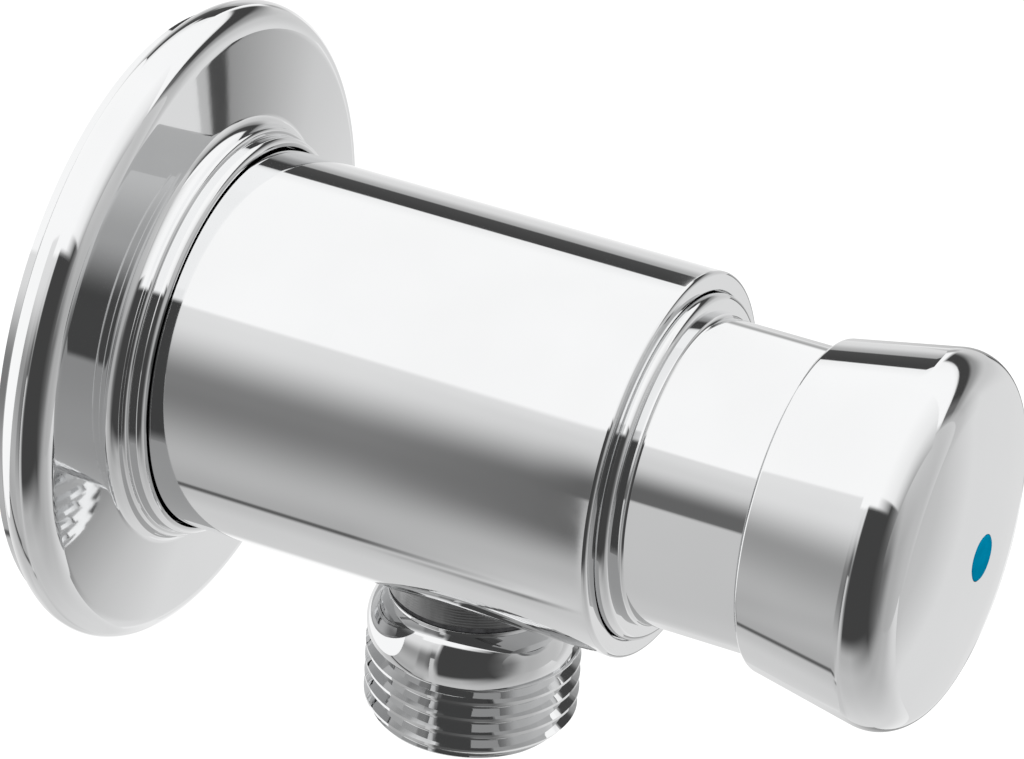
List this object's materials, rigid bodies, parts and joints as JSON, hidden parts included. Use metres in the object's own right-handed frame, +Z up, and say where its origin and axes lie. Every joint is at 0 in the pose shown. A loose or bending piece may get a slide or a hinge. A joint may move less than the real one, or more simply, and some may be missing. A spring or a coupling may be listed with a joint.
{
  "type": "urinal flush valve",
  "caption": "Wall-mounted push-button urinal flush valve: chromed barrel with threaded tail, sliding rosette, domed button, threaded outlet below and a self-closing timed cartridge inside.",
  "frame": {"origin": "on the axis of the inlet tail, in the plane of the finished wall, which is the rosette's rear face", "axes": "+Z up, +Y into the wall along the inlet tail, so the barrel and the button point along -Y and the outlet points down"},
  "size_m": [0.0636, 0.0961, 0.0649],
  "materials": {
    "chrome": "polished",
    "brass": "satin",
    "steel": "satin",
    "rubber": "matte",
    "white_plastic": "satin",
    "black_plastic": "satin",
    "blue_plastic": "gloss",
    "fibre": "matte"
  },
  "bodies": {
    "valve": {"valve_body": "chrome", "outlet_nipple": "chrome", "outlet_sealing_ring": "fibre", "inlet_strainer": "steel", "cartridge_sleeve": "white_plastic", "sleeve_rear_o_ring": "rubber", "sleeve_front_o_ring": "rubber", "seat_ring": "brass", "guide_bush": "brass", "guide_bush_o_ring": "rubber", "stem_seal": "rubber", "head_nut": "chrome"},
    "rosette": {"wall_rosette": "chrome", "rosette_o_ring": "rubber"},
    "button": {"push_button": "chrome", "button_core": "black_plastic", "index_plug": "blue_plastic", "button_circlip": "steel", "button_spring": "steel"},
    "stem": {"valve_stem": "steel", "clapper_cup": "brass", "seat_washer": "rubber", "washer_plate": "steel", "clapper_nut": "steel", "dashpot_piston": "white_plastic", "piston_lip_seal": "rubber", "piston_circlip": "steel", "closing_spring": "steel"}
  },
  "joints": [
    {"name": "button_press", "type": "slide", "parent": "valve", "child": "button", "axis": [0, 1, 0], "range_m": [0, 0.006], "stiffness_N_per_m": 600, "springref_m": -0.005, "deforming": ["button_spring"]},
    {"name": "stem_slide", "type": "slide", "parent": "valve", "child": "stem", "axis": [0, 1, 0], "range_m": [0, 0.006], "stiffness_N_per_m": 400, "springref_m": -0.005, "deforming": ["closing_spring"]},
    {"name": "rosette_slide", "type": "slide", "parent": "valve", "child": "rosette", "axis": [0, -1, 0], "range_m": [0, 0.015]}
  ],
  "couplings": [
    {"joint": "stem_slide", "follows": "button_press", "ratio": 1}
  ]
}
